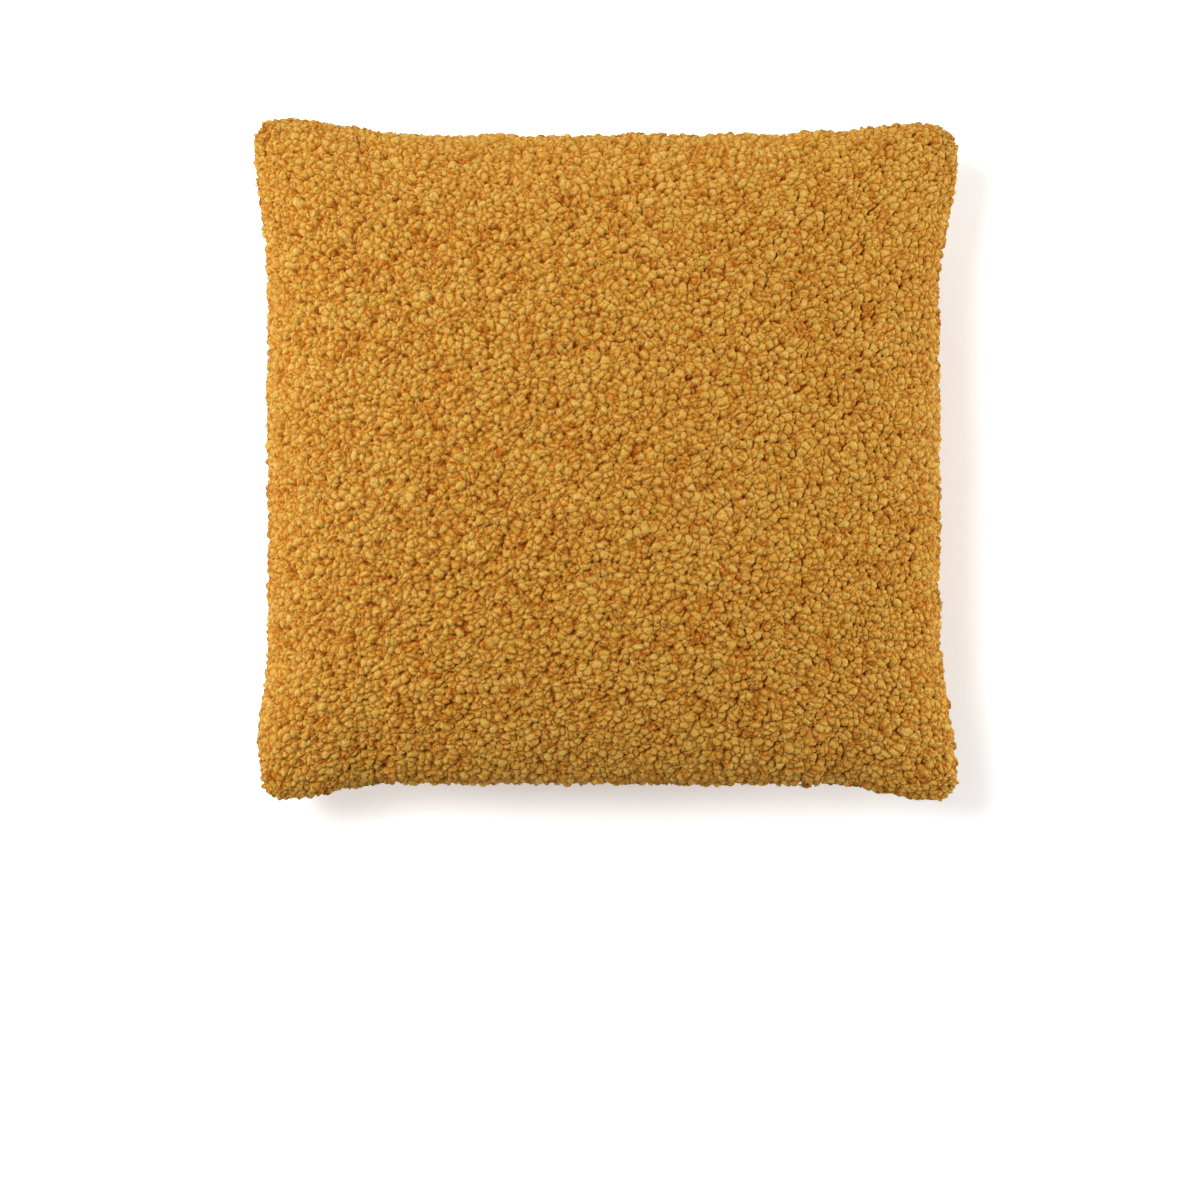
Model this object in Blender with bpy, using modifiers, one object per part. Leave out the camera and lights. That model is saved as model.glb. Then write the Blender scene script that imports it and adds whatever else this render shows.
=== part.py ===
"""Throw pillow: a boucle cover with a concealed zip, around a filled insert.

The pillow lies on its back. +X runs to its right, +Y to its top edge, +Z up through the front panel,
and the origin is under its middle, on the surface that it lies on. The zip is in the bottom (-Y) seam.
"""
import math

import bmesh
import bpy
from mathutils import Matrix, Vector

# Overall size, ear to ear, and how high it stands (metres)
LENGTH_X = 0.440
LENGTH_Y = 0.426
HEIGHT = 0.130
SEAM_HEIGHT = 0.058          # the seam's height above the surface
BACK_SAG = 0.008             # how much of the back panel's crown the surface presses flat

# Outline: how far each side's middle is drawn in from its ears, and where the ears start
WAIST_LEFT = 0.008
WAIST_RIGHT = 0.0115
WAIST_TOP = 0.009
WAIST_BOTTOM = 0.011
EAR_START = 0.50             # share of a half side where the waist starts to flare
EAR_START_BOTTOM = 0.60      # the zip holds the bottom side straight for longer
EAR_END = 0.96
EAR_RADIUS = 0.014
EAR_PULL_TOP_RIGHT = 0.006   # this ear sits lower than the top left one
EAR_PULL_BOTTOM_LEFT = 0.006  # and this one further in than the top left one
EAR_SHARPNESS = 8            # how quickly an ear's own pull fades along its sides
FULLNESS = 0.44              # of the crown: 0.5 is slack, less is better stuffed

# Cloth
CLOTH = 0.0032               # backing and pile together
BACKING = 0.0012             # at the seam allowance
ALLOWANCE = 0.013            # from the seam's edge to the raw edge
SEAM_GAP = 0.0016            # between the lips of the two panels
CASING = 0.0008
CASING_GAP = 0.0012          # between the two halves of the casing
EASE = 0.001                 # between the cover and the insert
FILL_EASE = 0.0012           # between the casing and the filling
TOUCH = 0.0003               # between pieces that touch

# Threads
THREAD_RADIUS = 0.0003
CASING_THREAD_RADIUS = 0.0002
OVERLOCK_RADIUS = 0.0011
ZIP_OVERLOCK_RADIUS = 0.0009
STITCH_INSET = 0.0036        # from the lips' edge to the seam's stitches
CLOSING_LENGTH = 0.120       # hand-closed stretch of the casing's seam
THREAD_BREAK = 0.004         # between the ends of two seams

# Zip
ZIP_LENGTH = 0.260
ZIP_ROOM = 0.0022            # how far the allowances part to make room for it
COIL_RADIUS = 0.0007
COIL_SPREAD = 0.00115        # each coil's distance from the middle of the seam
COIL_INSET = 0.0066          # from the lips' edge to the coils
TAPE = 0.0004
TAPE_WIDTH = 0.0070
ZIP_STITCH_INSET = 0.0040    # from the coils to the tapes' stitches
STOP_LENGTH = 0.003
STOP_WALL = 0.0005

# Slider and pull tab
SLIDER_LENGTH = 0.009
SLIDER_WALL = 0.0005
SLIDER_RUN = 0.00025         # clearance round the coils
SLIDER_DEPTH = 0.0046
SLIDER_BEVEL = 0.0003
NECK_WIDTH = 0.0060
NECK_THICKNESS = 0.0009
BAIL_REACH = 0.0022          # from the lips' edge out to the bail's bar
BAR_RADIUS = 0.0004
POST_WIDTH = 0.0012
POST_THICKNESS = 0.0013
POST_INSET = 0.0001
EYE_WIDTH = 0.0026
EYE_WALL = 0.0005
EYE_RUN = 0.0002            # clearance round the bail's bar
PULL_LENGTH = 0.022
PULL_WIDTH = 0.0064
PULL_THICKNESS = 0.0010

# Care label
LABEL_WIDTH = 0.030
LABEL_THICKNESS = 0.0003
LABEL_REACH = 0.6            # how much of the room under the crown the label stands up in
LABEL_TUCK = 0.002           # from the panel's inner face to the label's sewn edge
LABEL_PLACE = -0.30          # along the left side, as a share of its half length

# Fineness
ARC_STEPS = 3
SIDE_STEPS = 11
CROWN_RINGS = 7
BOTTOM_STEPS = 4
COIL_SIDES = 10

HALF_X = LENGTH_X / 2
HALF_Y = LENGTH_Y / 2
GAP = SEAM_GAP / 2
FRONT_RISE = HEIGHT - SEAM_HEIGHT - GAP
BACK_DROP = SEAM_HEIGHT - GAP + BACK_SAG
FLANGE_TOP = GAP + BACKING
OVERLOCK_INSET = ALLOWANCE + TOUCH + OVERLOCK_RADIUS
INSERT_INSET = OVERLOCK_INSET + OVERLOCK_RADIUS + EASE
INSERT_EDGE = 1 - (INSERT_INSET - EASE - CLOTH) / (min(HALF_X, HALF_Y) - WAIST_RIGHT)
ZIP_Y = -(HALF_Y - WAIST_BOTTOM)
COIL_Y = ZIP_Y + COIL_INSET
SLIDER_REST = ZIP_LENGTH / 2 - SLIDER_LENGTH / 2 - TOUCH
MAIN_SEAM_END = HALF_X * 0.86


# ---------------------------------------------------------------- scene and materials

for old in list(bpy.data.objects):
    bpy.data.objects.remove(old, do_unlink=True)

pillow = bpy.data.collections.new("throw_pillow")
cutters = bpy.data.collections.new("cutters")
for collection in (pillow, cutters):
    bpy.context.scene.collection.children.link(collection)


def make_material(name, color, roughness, metallic=0.0):
    material = bpy.data.materials.new(name)
    material.use_nodes = True
    shader = material.node_tree.nodes["Principled BSDF"]
    shader.inputs["Base Color"].default_value = (*color, 1.0)
    shader.inputs["Roughness"].default_value = roughness
    shader.inputs["Metallic"].default_value = metallic
    return material


BOUCLE = make_material("mustard_boucle", (0.52, 0.235, 0.04), 0.95)
THREAD = make_material("mustard_thread", (0.45, 0.20, 0.035), 0.7)
TAPE_CLOTH = make_material("zip_tape", (0.42, 0.19, 0.035), 0.85)
NYLON = make_material("zip_nylon", (0.44, 0.20, 0.04), 0.4)
ZINC = make_material("painted_zinc", (0.42, 0.18, 0.03), 0.35, 0.6)
CASING_CLOTH = make_material("casing_cloth", (0.82, 0.81, 0.78), 0.9)
FIBRE = make_material("polyester_fibre", (0.9, 0.9, 0.88), 1.0)
SATIN = make_material("label_satin", (0.85, 0.84, 0.80), 0.5)


def add_object(name, mesh, material, collection=pillow):
    piece = bpy.data.objects.new(name, mesh)
    mesh.materials.append(material)
    collection.objects.link(piece)
    return piece


# ---------------------------------------------------------------- outline and crown

def smoothstep(low, high, value):
    t = min(max((value - low) / (high - low), 0.0), 1.0)
    return t * t * (3 - 2 * t)


def waist(depth, share, start=EAR_START):
    """How far a side is drawn in at a share of its half length."""
    return depth * (1 - smoothstep(start, EAR_END, abs(share)))


def shape_outline(x, y):
    """Move a point of the rounded rectangle to the pillow's own outline."""
    u, v = x / HALF_X, y / HALF_Y
    ear = (abs(u) * abs(v)) ** EAR_SHARPNESS
    if abs(u) > abs(v):
        x -= math.copysign(waist(WAIST_RIGHT if u > 0 else WAIST_LEFT, v), u)
    elif v > 0:
        y -= waist(WAIST_TOP, u)
    else:
        y += waist(WAIST_BOTTOM, u, EAR_START_BOTTOM)
    if u > 0 and v > 0:
        y -= EAR_PULL_TOP_RIGHT * ear
    if u < 0 and v < 0:
        x += EAR_PULL_BOTTOM_LEFT * ear
    return x, y


def outline_points():
    """The outline as (x, y, u, v), where u and v reach 1 on the edge of the unit square.

    It starts at the middle of the bottom side and runs anticlockwise.
    """
    flat_x, flat_y = HALF_X - EAR_RADIUS, HALF_Y - EAR_RADIUS
    plain = []
    corners = ((1, -1, -90), (1, 1, 0), (-1, 1, 90), (-1, -1, 180))
    for number, (sign_x, sign_y, start) in enumerate(corners):
        for step in range(ARC_STEPS + 1):
            angle = math.radians(start + 90 * step / ARC_STEPS)
            plain.append((sign_x * flat_x + EAR_RADIUS * math.cos(angle),
                          sign_y * flat_y + EAR_RADIUS * math.sin(angle)))
        next_x, next_y, next_start = corners[(number + 1) % 4]
        begin = Vector(plain[-1])
        angle = math.radians(next_start)
        end = Vector((next_x * flat_x + EAR_RADIUS * math.cos(angle),
                      next_y * flat_y + EAR_RADIUS * math.sin(angle)))
        plain += [tuple(begin.lerp(end, step / SIDE_STEPS)) for step in range(1, SIDE_STEPS)]
    half_bottom = (SIDE_STEPS - 1) // 2
    plain = plain[-half_bottom:] + plain[:-half_bottom]
    outline = []
    for x, y in plain:
        u, v = x / HALF_X, y / HALF_Y
        reach = max(abs(u), abs(v))
        outline.append((*shape_outline(x, y), u / reach, v / reach))
    return outline


OUTLINE = outline_points()


def crown(r, u, v):
    """The puff's height, from 1 in the middle to 0 at the seam, and thin towards the ears."""
    return max((1 - (r * u) ** 2) * (1 - (r * v) ** 2), 0.0) ** FULLNESS


def shrunk(x, y, inset):
    return x * (1 - inset / HALF_X), y * (1 - inset / HALF_Y)


def zip_room(u, v):
    """How far an allowance is lifted from the seam, along the zip's side only."""
    if v > -1:
        return 0.0
    past_zip = (ZIP_LENGTH / 2 + SLIDER_LENGTH) / HALF_X + 2 / SIDE_STEPS
    return ZIP_ROOM * (1 - smoothstep(past_zip, past_zip + 0.10, abs(u)))


def crown_ring(r, inset, side, base=0.0):
    """One ring of a layer that lies inset under the cover's surface; side is 1 for front, -1 for back."""
    full = (FRONT_RISE if side > 0 else BACK_DROP) - inset
    ring = []
    for x, y, u, v in OUTLINE:
        foot = GAP + base + (zip_room(u, v) if base else 0.0)
        height = foot + (full + GAP - foot) * crown(r, u, v)
        z = SEAM_HEIGHT + side * height
        flat_x, flat_y = shrunk(x, y, inset)
        ring.append((flat_x * r, flat_y * r, max(z, inset)))
    return ring


def level_ring(inset, height, side=1, lifted=True):
    """A ring round the pillow at a height over the seam (under it for the back)."""
    ring = []
    for x, y, u, v in OUTLINE:
        lift = zip_room(u, v) if lifted else 0.0
        ring.append((*shrunk(x, y, inset), SEAM_HEIGHT + side * (height + lift)))
    return ring


# Every layer has its rings at the same shares of its radius, closest together at the edge,
# so that the flat facets of one layer nest in those of the next
SHARES = [math.sin(math.pi / 2 * step / CROWN_RINGS) for step in range(1, CROWN_RINGS + 1)]


def crown_top(inset, side):
    """The middle of a layer that lies inset under the cover's surface."""
    return (0.0, 0.0, HEIGHT - inset if side > 0 else inset)


def loft(name, rings, poles, material):
    """A closed body through the rings in turn, from one pole to the other."""
    bm = bmesh.new()
    loops = [[bm.verts.new(point) for point in ring] for ring in rings]
    count = len(loops[0])
    for lower, upper in zip(loops, loops[1:]):
        for step in range(count):
            after = (step + 1) % count
            bm.faces.new((lower[step], lower[after], upper[after], upper[step]))
    for loop, middle in zip((loops[0], loops[-1]), poles):
        pole = bm.verts.new(middle)
        for step in range(count):
            bm.faces.new((loop[step], loop[(step + 1) % count], pole))
    bmesh.ops.recalc_face_normals(bm, faces=bm.faces)
    mesh = bpy.data.meshes.new(name)
    bm.to_mesh(mesh)
    bm.free()
    mesh.shade_smooth()
    mesh.set_sharp_from_angle(angle=math.radians(40))
    return add_object(name, mesh, material)


def tube(name, points, radius, material):
    """A thread or cord: a bevelled poly curve with filled ends."""
    curve = bpy.data.curves.new(name, "CURVE")
    curve.dimensions = "3D"
    curve.bevel_depth = radius
    curve.bevel_resolution = 1
    curve.use_fill_caps = True
    spline = curve.splines.new("POLY")
    spline.points.add(len(points) - 1)
    for point, place in zip(spline.points, points):
        point.co = (*place, 1.0)
    return add_object(name, curve, material)


# ---------------------------------------------------------------- cover

def cover_panel(name, side):
    """A panel of boucle: its crown, its lip at the seam and the allowance turned in behind it."""
    rings = [crown_ring(r, 0.0, side) for r in SHARES]
    rings.append(level_ring(CLOTH - TOUCH, GAP, side, lifted=False))
    rings.append(level_ring(CLOTH, GAP, side))
    rings.append(level_ring(ALLOWANCE, GAP, side))
    rings.append(level_ring(ALLOWANCE, FLANGE_TOP, side))
    rings += [crown_ring(r, CLOTH, side, BACKING) for r in reversed(SHARES)]
    return loft(name, rings, (crown_top(0.0, side), crown_top(CLOTH, side)), BOUCLE)


def seam_path(inset, keep):
    """Points along the seam at an inset, where keep(x, u, v) says so."""
    return [(*shrunk(x, y, inset), SEAM_HEIGHT) for x, y, u, v in OUTLINE if keep(x, u, v)]


def bottom_line(inset, start, end, height=0.0):
    """Points along the bottom side between two places, that follow how it flares to its ears."""
    points = []
    for step in range(BOTTOM_STEPS + 1):
        x = start + (end - start) * step / BOTTOM_STEPS
        flare = WAIST_BOTTOM - waist(WAIST_BOTTOM, x / HALF_X, EAR_START_BOTTOM)
        points.append((x, ZIP_Y - flare + inset, SEAM_HEIGHT + height))
    return points


def off_zip_side(x, u, v):
    return v > -1 or abs(x) > MAIN_SEAM_END


def make_cover():
    cover_panel("cover_front_panel", 1)
    cover_panel("cover_back_panel", -1)
    # the outline's list starts on the bottom side, so a path round the other three is one run of it
    tube("cover_seam_thread", seam_path(STITCH_INSET, off_zip_side), THREAD_RADIUS, THREAD)
    tube("cover_overlock_thread", seam_path(OVERLOCK_INSET, off_zip_side), OVERLOCK_RADIUS, THREAD)
    start = ZIP_LENGTH / 2 + THREAD_BREAK
    for name, sign in (("zip_end_seam_right", 1), ("zip_end_seam_left", -1)):
        line = bottom_line(STITCH_INSET, sign * start, sign * (MAIN_SEAM_END - THREAD_BREAK))
        tube(name, line, THREAD_RADIUS, THREAD)


def make_label():
    """A blank label, caught in the left seam on top of the front panel's allowance."""
    middle_y = LABEL_PLACE * HALF_Y
    edge = -(HALF_X - WAIST_LEFT)
    low = SEAM_HEIGHT + FLANGE_TOP + TOUCH
    near, far = edge + CLOTH + LABEL_TUCK, edge + INSERT_INSET - EASE
    share = 1 - (INSERT_INSET - EASE - CLOTH) / (HALF_X - WAIST_LEFT)
    room = (FRONT_RISE - CLOTH) * crown(share, 1, LABEL_PLACE)
    profile = [(near, low), (far, low), (far, SEAM_HEIGHT + LABEL_REACH * room)]
    bm = bmesh.new()
    columns = [[bm.verts.new((x, middle_y + side * LABEL_WIDTH / 2, z)) for side in (-1, 1)]
               for x, z in profile]
    for left, right in zip(columns, columns[1:]):
        bm.faces.new((left[0], right[0], right[1], left[1]))
    mesh = bpy.data.meshes.new("care_label")
    bm.to_mesh(mesh)
    bm.free()
    label = add_object("care_label", mesh, SATIN)
    shell = label.modifiers.new("thickness", "SOLIDIFY")
    shell.thickness = LABEL_THICKNESS
    shell.offset = 1.0


# ---------------------------------------------------------------- insert

def insert_rings(inset, side):
    """A layer of the insert: the cover's own crown, cut off where the seam allowances end."""
    rings = [crown_ring(r, inset, side) for r in SHARES if r < INSERT_EDGE]
    inside, outside = SHARES[len(rings) - 1], SHARES[len(rings)]
    part = (INSERT_EDGE - inside) / (outside - inside)
    beyond = crown_ring(outside, inset, side)
    rings.append([tuple(Vector(a).lerp(Vector(b), part)) for a, b in zip(rings[-1], beyond)])
    return rings


def wall_ring(inset, side):
    """The foot of an insert layer's upright edge, beside the seam."""
    foot = SEAM_HEIGHT + side * CASING_GAP / 2
    return [(x, y, foot) for x, y, z in insert_rings(inset, side)[-1]]


def make_insert():
    outer = CLOTH + EASE
    inner = outer + CASING
    fill = inner + FILL_EASE
    for name, side in (("insert_casing_front", 1), ("insert_casing_back", -1)):
        rings = insert_rings(outer, side) + [wall_ring(outer, side), wall_ring(inner, side)]
        rings += reversed(insert_rings(inner, side))
        loft(name, rings, (crown_top(outer, side), crown_top(inner, side)), CASING_CLOTH)
    rings = insert_rings(fill, 1) + insert_rings(fill, -1)[::-1]
    loft("insert_filling", rings, (crown_top(fill, 1), crown_top(fill, -1)), FIBRE)
    middle = outer + CASING / 2
    seam = [(x, y, SEAM_HEIGHT) for x, y, z in wall_ring(middle, 1)]
    open_end = CLOSING_LENGTH / 2 + THREAD_BREAK
    bottom = min(y for x, y, z in seam if abs(x) < open_end)
    around = [point for point in seam if point[1] > 0 or abs(point[0]) > open_end]
    tube("insert_seam_thread", around, CASING_THREAD_RADIUS, CASING_CLOTH)
    ends = [(sign * CLOSING_LENGTH / 2, bottom, SEAM_HEIGHT) for sign in (-1, 1)]
    tube("insert_closing_stitch", ends, CASING_THREAD_RADIUS, CASING_CLOTH)


# ---------------------------------------------------------------- zip

def make_box(name, low, high, material=None):
    """A box between two corners; with no material it is a cutter."""
    low, high = Vector(low), Vector(high)
    bm = bmesh.new()
    place = Matrix.LocRotScale((low + high) / 2, None, high - low)
    bmesh.ops.create_cube(bm, size=1.0, matrix=place)
    mesh = bpy.data.meshes.new(name)
    bm.to_mesh(mesh)
    bm.free()
    if material:
        return add_object(name, mesh, material)
    return add_tool(name, mesh)


def make_rod(name, middle, radius, length, sides, material=None):
    """A cylinder along X; with no material it is a cutter."""
    bm = bmesh.new()
    along_x = Matrix.Translation(middle) @ Matrix.Rotation(math.pi / 2, 4, "Y")
    bmesh.ops.create_cone(bm, cap_ends=True, segments=sides, radius1=radius, radius2=radius,
                          depth=length, matrix=along_x)
    mesh = bpy.data.meshes.new(name)
    bm.to_mesh(mesh)
    bm.free()
    mesh.shade_smooth()
    mesh.set_sharp_from_angle(angle=math.radians(40))
    if material:
        return add_object(name, mesh, material)
    return add_tool(name, mesh)


def add_tool(name, mesh):
    tool = bpy.data.objects.new(name, mesh)
    cutters.objects.link(tool)
    tool.hide_render = True
    tool.display_type = "WIRE"
    return tool


def cut(piece, tool, operation="DIFFERENCE"):
    boolean = piece.modifiers.new(tool.name, "BOOLEAN")
    boolean.operation = operation
    boolean.object = tool


def make_tapes_and_coils():
    """Each side's tape and coil, the stitches that hold the tape, and its overlocked edge."""
    tape_low = COIL_Y + COIL_RADIUS + TOUCH
    allowance_low = GAP + ZIP_ROOM
    for name, side in (("front", 1), ("back", -1)):
        coil = (0.0, COIL_Y, SEAM_HEIGHT + side * COIL_SPREAD)
        make_rod("zip_coil_" + name, coil, COIL_RADIUS, ZIP_LENGTH, COIL_SIDES, NYLON)
        flat = SEAM_HEIGHT + side * COIL_SPREAD
        make_box("zip_tape_" + name, (-ZIP_LENGTH / 2, tape_low, flat - TAPE / 2),
                 (ZIP_LENGTH / 2, tape_low + TAPE_WIDTH, flat + TAPE / 2), TAPE_CLOTH)
        height = side * (COIL_SPREAD + TAPE / 2 + allowance_low) / 2
        line = [(sign * (ZIP_LENGTH / 2 - THREAD_BREAK), COIL_Y + ZIP_STITCH_INSET, SEAM_HEIGHT + height)
                for sign in (-1, 1)]
        tube("zip_stitch_" + name, line, THREAD_RADIUS, THREAD)
        height = side * (allowance_low + BACKING / 2)
        end = ZIP_LENGTH / 2 - OVERLOCK_INSET    # further out, the insert's side flares towards it
        line = [(sign * end, ZIP_Y + OVERLOCK_INSET, SEAM_HEIGHT + height) for sign in (-1, 1)]
        tube("zip_overlock_" + name, line, ZIP_OVERLOCK_RADIUS, THREAD)


def make_stops():
    """A small clip past the end of each coil at the closed end, and one over both at the other."""
    half = COIL_RADIUS + STOP_WALL / 2
    first = ZIP_LENGTH / 2 + TOUCH
    for name, side in (("front", 1), ("back", -1)):
        middle = SEAM_HEIGHT + side * COIL_SPREAD
        make_box("zip_top_stop_" + name, (first, COIL_Y - half, middle - half),
                 (first + STOP_LENGTH, COIL_Y + half, middle + half), ZINC)
    reach = COIL_SPREAD + half
    make_box("zip_bottom_stop", (-first - STOP_LENGTH, COIL_Y - half, SEAM_HEIGHT - reach),
             (-first, COIL_Y + half, SEAM_HEIGHT + reach), ZINC)


def make_slider():
    """The slider's body round the coils, its neck out between the lips, and the bail."""
    x = SLIDER_REST
    channel = COIL_RADIUS + SLIDER_RUN
    back = COIL_Y - channel - SLIDER_WALL
    half = COIL_SPREAD + channel + SLIDER_WALL
    slider = make_box("zip_slider", (x - SLIDER_LENGTH / 2, back, SEAM_HEIGHT - half),
                      (x + SLIDER_LENGTH / 2, back + SLIDER_DEPTH, SEAM_HEIGHT + half), ZINC)
    round_edges = slider.modifiers.new("edges", "BEVEL")
    round_edges.width = SLIDER_BEVEL
    round_edges.segments = 1
    for name, side in (("front", 1), ("back", -1)):
        z = SEAM_HEIGHT + side * COIL_SPREAD
        cut(slider, make_rod("channel_" + name, (x, COIL_Y, z), channel, 2 * SLIDER_LENGTH, 12))
        slot = TAPE / 2 + SLIDER_RUN
        cut(slider, make_box("slot_" + name, (x - SLIDER_LENGTH, COIL_Y, z - slot),
                             (x + SLIDER_LENGTH, COIL_Y + SLIDER_LENGTH, z + slot)))
    outer = ZIP_Y - BAIL_REACH
    neck_end = outer + BAR_RADIUS + EYE_RUN + EYE_WALL + EYE_RUN
    thin = NECK_THICKNESS / 2
    neck = make_box("neck", (x - NECK_WIDTH / 2, neck_end, SEAM_HEIGHT - thin),
                    (x + NECK_WIDTH / 2, back + SLIDER_WALL * 0.8, SEAM_HEIGHT + thin))
    cut(slider, neck, "UNION")
    for name, sign in (("post_right", 1), ("post_left", -1)):
        near = x + sign * (NECK_WIDTH / 2 - POST_WIDTH)
        far = x + sign * (NECK_WIDTH / 2 - POST_INSET)
        post = make_box(name, (min(near, far), outer - BAR_RADIUS - POST_INSET, SEAM_HEIGHT - POST_THICKNESS / 2),
                        (max(near, far), neck_end + POST_WIDTH, SEAM_HEIGHT + POST_THICKNESS / 2))
        cut(slider, post, "UNION")
    bar_length = NECK_WIDTH - POST_WIDTH
    cut(slider, make_rod("bar", (x, outer, SEAM_HEIGHT), BAR_RADIUS, bar_length, 12), "UNION")


def make_pull():
    """The pull tab: an eye on the bail's bar, and a drop-shaped blade that hangs from it."""
    x, y, z = SLIDER_REST, ZIP_Y - BAIL_REACH, SEAM_HEIGHT
    bore = BAR_RADIUS + EYE_RUN
    pull = make_rod("zip_pull_tab", (0.0, 0.0, 0.0), bore + EYE_WALL, EYE_WIDTH, 16, ZINC)
    pull.location = (x, y, z)
    outline = bpy.data.curves.new("blade", "CURVE")
    outline.dimensions = "2D"
    outline.fill_mode = "BOTH"
    outline.extrude = PULL_THICKNESS / 2
    outline.resolution_u = 4
    spline = outline.splines.new("BEZIER")
    half = PULL_WIDTH / 2
    neck = EYE_WIDTH / 2 - TOUCH
    top = bore + EYE_WALL / 2
    places = ((neck, top), (half, PULL_LENGTH - half), (0.0, PULL_LENGTH), (-half, PULL_LENGTH - half),
              (-neck, top))
    spline.bezier_points.add(len(places) - 1)
    for point, (across, down) in zip(spline.bezier_points, places):
        point.co = (across, -down, 0.0)
        point.handle_left_type = point.handle_right_type = "AUTO"
    for corner in (0, -1):
        spline.bezier_points[corner].handle_left_type = "VECTOR"
        spline.bezier_points[corner].handle_right_type = "VECTOR"
    spline.use_cyclic_u = True
    flat = bpy.data.objects.new("blade_outline", outline)
    cutters.objects.link(flat)
    flat.rotation_euler = (math.pi / 2, 0.0, 0.0)
    flat.location = (x, y, z)
    bpy.context.view_layer.update()
    solid = flat.evaluated_get(bpy.context.evaluated_depsgraph_get())
    mesh = bpy.data.meshes.new_from_object(solid)
    bm = bmesh.new()
    bm.from_mesh(mesh)
    bmesh.ops.remove_doubles(bm, verts=bm.verts, dist=1e-6)
    bm.to_mesh(mesh)
    bm.free()
    blade = add_tool("blade", mesh)
    blade.matrix_world = flat.matrix_world
    bpy.data.objects.remove(flat, do_unlink=True)
    cut(pull, blade, "UNION")
    bore_tool = make_rod("bore", (x, y, z), bore, 2 * EYE_WIDTH, 12)
    cut(pull, bore_tool)


make_cover()
make_label()
make_insert()
make_tapes_and_coils()
make_stops()
make_slider()
make_pull()
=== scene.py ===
import math

import bpy
import numpy as np
from mathutils import Matrix, Vector


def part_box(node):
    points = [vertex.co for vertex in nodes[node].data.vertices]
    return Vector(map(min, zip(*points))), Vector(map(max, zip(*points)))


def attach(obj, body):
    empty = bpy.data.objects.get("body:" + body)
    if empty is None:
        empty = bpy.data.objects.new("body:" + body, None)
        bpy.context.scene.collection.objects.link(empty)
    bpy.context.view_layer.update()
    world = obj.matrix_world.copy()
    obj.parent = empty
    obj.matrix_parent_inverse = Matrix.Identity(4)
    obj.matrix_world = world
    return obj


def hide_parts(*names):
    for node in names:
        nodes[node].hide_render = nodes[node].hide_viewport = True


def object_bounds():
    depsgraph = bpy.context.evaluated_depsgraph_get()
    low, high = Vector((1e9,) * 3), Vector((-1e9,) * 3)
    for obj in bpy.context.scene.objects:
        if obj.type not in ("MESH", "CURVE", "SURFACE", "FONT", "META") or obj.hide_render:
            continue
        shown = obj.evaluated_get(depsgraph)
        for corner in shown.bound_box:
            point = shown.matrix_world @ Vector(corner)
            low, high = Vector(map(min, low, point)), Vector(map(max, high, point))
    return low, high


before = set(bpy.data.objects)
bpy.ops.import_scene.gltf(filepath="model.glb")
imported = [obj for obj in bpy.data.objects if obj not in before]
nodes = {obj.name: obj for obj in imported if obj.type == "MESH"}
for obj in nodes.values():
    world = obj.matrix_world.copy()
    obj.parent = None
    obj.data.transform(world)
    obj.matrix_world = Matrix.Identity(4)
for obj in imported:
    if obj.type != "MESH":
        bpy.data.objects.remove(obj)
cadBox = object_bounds()
mm = 0.001
print("frame loaded:", len(nodes), "nodes")


def linearColour(code):
    channels = [int(code[i:i + 2], 16) / 255 for i in (1, 3, 5)]
    return tuple(c / 12.92 if c <= 0.04045 else ((c + 0.055) / 1.055) ** 2.4 for c in channels) + (1.0,)


def smoothstep(low, high, value):
    t = np.clip((value - low) / (high - low), 0, 1)
    return t * t * (3 - 2 * t)


def addNode(material, kind, settings=None, stops=(), **links):
    # settings are the node's own properties, stops a ramp's places and colours, and links its sockets, by
    # name or as i0, i1 by number: each a value or another node's output
    tree = material.node_tree
    node = tree.nodes.new("ShaderNode" + kind)
    for name, value in (settings or {}).items():
        setattr(node, name, value)
    for number, (place, colour) in enumerate(stops):
        ramp = node.color_ramp.elements
        stop = ramp[number] if number < 2 else ramp.new(place)
        stop.position, stop.color = place, linearColour(colour)
    for name, value in links.items():
        byNumber = name[0] == "i" and name[1:].isdigit()
        socket = node.inputs[int(name[1:])] if byNumber else node.inputs[name.replace("_", " ")]
        if isinstance(value, bpy.types.NodeSocket):
            tree.links.new(value, socket)
        else:
            socket.default_value = value
    return node


def newMaterial(name, roughness, **settings):
    # a principled surface, with its even values set straight on the sockets
    material = bpy.data.materials.new(name)
    material.use_nodes = True
    shader = material.node_tree.nodes["Principled BSDF"]
    shader.inputs["Roughness"].default_value = roughness
    for socket, value in settings.items():
        shader.inputs[socket.replace("_", " ")].default_value = value
    return material


def dress(material, colour, height=None, strength=0.5, depth=0.1 * mm):
    # joins a colour, and a relief if there is one, to the surface
    tree = material.node_tree
    shader = tree.nodes["Principled BSDF"]
    tree.links.new(colour, shader.inputs["Base Color"])
    if height:
        bump = addNode(material, "Bump", Strength=strength, Distance=depth, Height=height)
        tree.links.new(bump.outputs["Normal"], shader.inputs["Normal"])
    return material


def meshObject(name, vertices, faces, material, smooth=True):
    mesh = bpy.data.meshes.new(name)
    vertices = np.asarray(vertices, np.float32)
    faces = np.asarray(faces, np.int32)
    corners = faces.shape[1]
    mesh.vertices.add(len(vertices))
    mesh.vertices.foreach_set("co", vertices.ravel())
    mesh.loops.add(faces.size)
    mesh.loops.foreach_set("vertex_index", faces.ravel())
    mesh.polygons.add(len(faces))
    mesh.polygons.foreach_set("loop_start", np.arange(0, faces.size, corners, dtype=np.int32))
    mesh.update(calc_edges=True)
    mesh.polygons.foreach_set("use_smooth", np.full(len(faces), smooth))
    mesh.materials.append(material)
    piece = bpy.data.objects.new(name, mesh)
    bpy.context.scene.collection.objects.link(piece)
    return piece


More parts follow.
